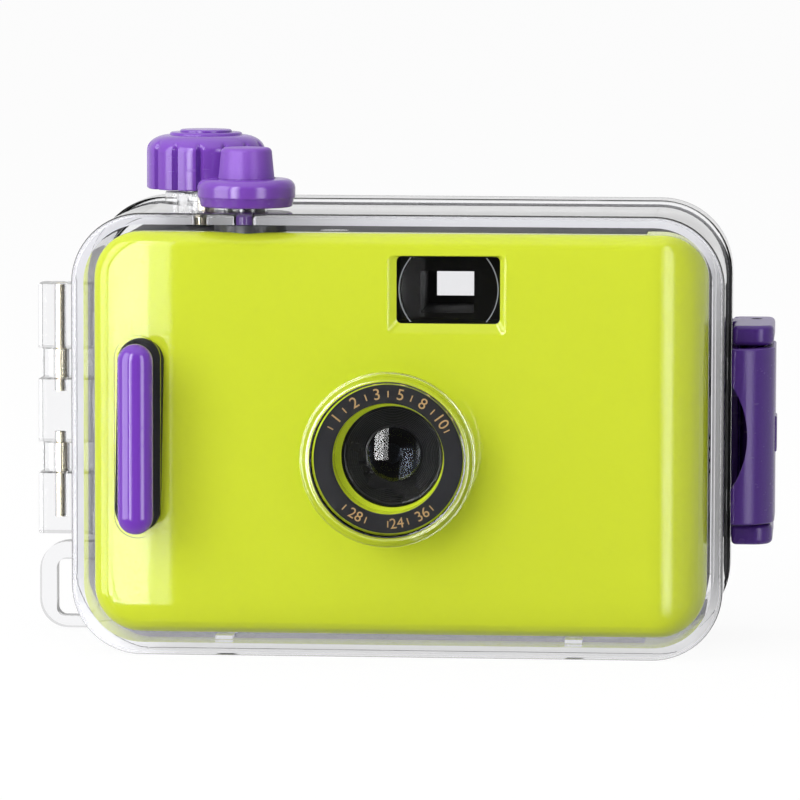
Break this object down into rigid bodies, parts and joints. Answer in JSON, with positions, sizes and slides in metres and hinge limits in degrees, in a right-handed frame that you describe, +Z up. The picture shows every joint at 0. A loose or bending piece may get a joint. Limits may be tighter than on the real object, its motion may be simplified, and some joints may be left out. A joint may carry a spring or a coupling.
{
  "type": "waterproof film camera",
  "caption": "Plain 35 mm film camera sealed in a clear hinged case, with a shutter button, a winder knob and a side latch that work it from outside.",
  "frame": {"origin": "centre of the case's flat bottom, midway between its front face and its rim", "axes": "+X to the right and +Z up as seen from the front, +Y from the lens towards the back lid"},
  "size_m": [0.1294, 0.0506, 0.0886],
  "materials": {
    "clear_shell": "clear moulded polycarbonate, glossy",
    "port_glass": "flat clear window, polished",
    "grip_purple": "glossy purple",
    "button_purple": "satin purple",
    "knob_purple": "semi-gloss purple",
    "latch_purple": "dark glossy purple",
    "collar_purple": "glossy purple",
    "cover_green": "glossy yellow-green",
    "camera_black": "fine-textured black",
    "deck_black": "plain black",
    "pad_black": "soft black",
    "gasket_black": "matt black",
    "seal_black": "matt black",
    "pin_steel": "turned, slightly warm",
    "spring_steel": "drawn wire",
    "screw_steel": "zinc plated",
    "label_black": "satin black",
    "barrel_black": "dead black",
    "lens_glass": "coated, polished",
    "finder_clear": "clear acrylic",
    "finder_black": "matt black",
    "release_charcoal": "satin charcoal",
    "wheel_black": "satin black",
    "counter_white": "white with printed numbers",
    "plate_steel": "blackened, smooth"
  },
  "bodies": {
    "housing": {"front_shell": "clear_shell", "port_window": "port_glass", "grip_bar": "grip_purple", "shutter_base": "collar_purple", "shutter_collar": "collar_purple", "shutter_o_ring": "seal_black", "shutter_washer": "spring_steel", "shutter_spring": "spring_steel", "winder_o_ring": "seal_black", "hinge_pin_upper": "pin_steel", "hinge_pin_lower": "pin_steel", "camera_front_cover": "cover_green", "camera_body": "camera_black", "camera_top_plate": "camera_black", "counter_window": "finder_clear", "camera_back_door": "camera_black", "door_hinge_pin": "pin_steel", "pressure_plate": "plate_steel", "pressure_spring": "spring_steel", "camera_screws": "screw_steel", "finger_pad": "pad_black", "lens_label_ring": "label_black", "lens_barrel": "barrel_black", "lens_front_element": "lens_glass", "aperture_plate": "barrel_black", "shutter_blade_pin": "pin_steel", "lens_rear_element": "lens_glass", "viewfinder_tube": "finder_black", "viewfinder_front_lens": "finder_clear", "viewfinder_eyepiece": "finder_clear", "release_spring": "spring_steel"},
    "lid": {"back_lid": "clear_shell", "lid_gasket": "gasket_black", "latch_bracket": "latch_purple", "latch_pin": "pin_steel"},
    "latch": {"latch_lever": "latch_purple"},
    "button": {"shutter_button": "button_purple"},
    "winder": {"winder_knob": "knob_purple", "winder_shaft": "pin_steel", "winder_clip": "spring_steel"},
    "release": {"release_button": "release_charcoal"},
    "blade": {"shutter_blade": "plate_steel"},
    "advance": {"advance_wheel": "wheel_black", "take_up_spool": "deck_black"},
    "sprocket": {"film_sprocket": "deck_black"},
    "counter": {"counter_disc": "counter_white"},
    "rewind": {"rewind_shaft": "deck_black", "rewind_crank": "deck_black", "crank_pin": "pin_steel"},
    "door_slide": {"door_latch": "deck_black"}
  },
  "joints": [
    {"name": "lid_swing", "type": "hinge", "parent": "housing", "child": "lid", "pos_m": [-0.06165, 0.017, 0.035], "axis": [0, 0, 1], "range_deg": [0, 170]},
    {"name": "latch_swing", "type": "hinge", "parent": "lid", "child": "latch", "pos_m": [0.0603, 0.0246, 0.036], "axis": [0, 0, 1], "range_deg": [0, 110]},
    {"name": "shutter_press", "type": "slide", "parent": "housing", "child": "button", "axis": [0, 0, -1], "range_m": [0, 0.0015], "stiffness_N_per_m": 600, "springref_m": -0.003, "deforming": ["shutter_spring"]},
    {"name": "release_press", "type": "slide", "parent": "housing", "child": "release", "axis": [0, 0, -1], "range_m": [0, 0.0016], "stiffness_N_per_m": 200, "springref_m": -0.002, "deforming": ["release_spring"]},
    {"name": "blade_swing", "type": "hinge", "parent": "housing", "child": "blade", "pos_m": [-0.00602, 0, 0.03867], "axis": [0, 1, 0], "range_deg": [0, 36]},
    {"name": "winder_turn", "type": "hinge", "parent": "housing", "child": "winder", "pos_m": [-0.03555, 0.0125, 0.07], "axis": [0, 0, 1], "continuous": true},
    {"name": "advance_turn", "type": "hinge", "parent": "housing", "child": "advance", "pos_m": [-0.03555, 0.0125, 0.07], "axis": [0, 0, 1], "continuous": true},
    {"name": "sprocket_turn", "type": "hinge", "parent": "housing", "child": "sprocket", "pos_m": [-0.012, 0.0129, 0.05], "axis": [0, 0, 1], "continuous": true},
    {"name": "counter_turn", "type": "hinge", "parent": "housing", "child": "counter", "pos_m": [-0.012, 0.004, 0.066], "axis": [0, 0, 1], "continuous": true},
    {"name": "rewind_turn", "type": "hinge", "parent": "housing", "child": "rewind", "pos_m": [0.036, 0.0095, 0.005], "axis": [0, 0, 1], "continuous": true},
    {"name": "door_latch_slide", "type": "slide", "parent": "housing", "child": "door_slide", "axis": [0, 0, 1], "range_m": [0, 0.003], "stiffness_N_per_m": 100, "springref_m": -0.002}
  ],
  "couplings": [
    {"joint": "release_press", "follows": "shutter_press", "ratio": 1},
    {"joint": "blade_swing", "follows": "shutter_press", "rad_per_m": 407},
    {"joint": "advance_turn", "follows": "winder_turn", "ratio": 1},
    {"joint": "sprocket_turn", "follows": "winder_turn", "ratio": 0.909},
    {"joint": "counter_turn", "follows": "winder_turn", "ratio": -0.022725}
  ]
}
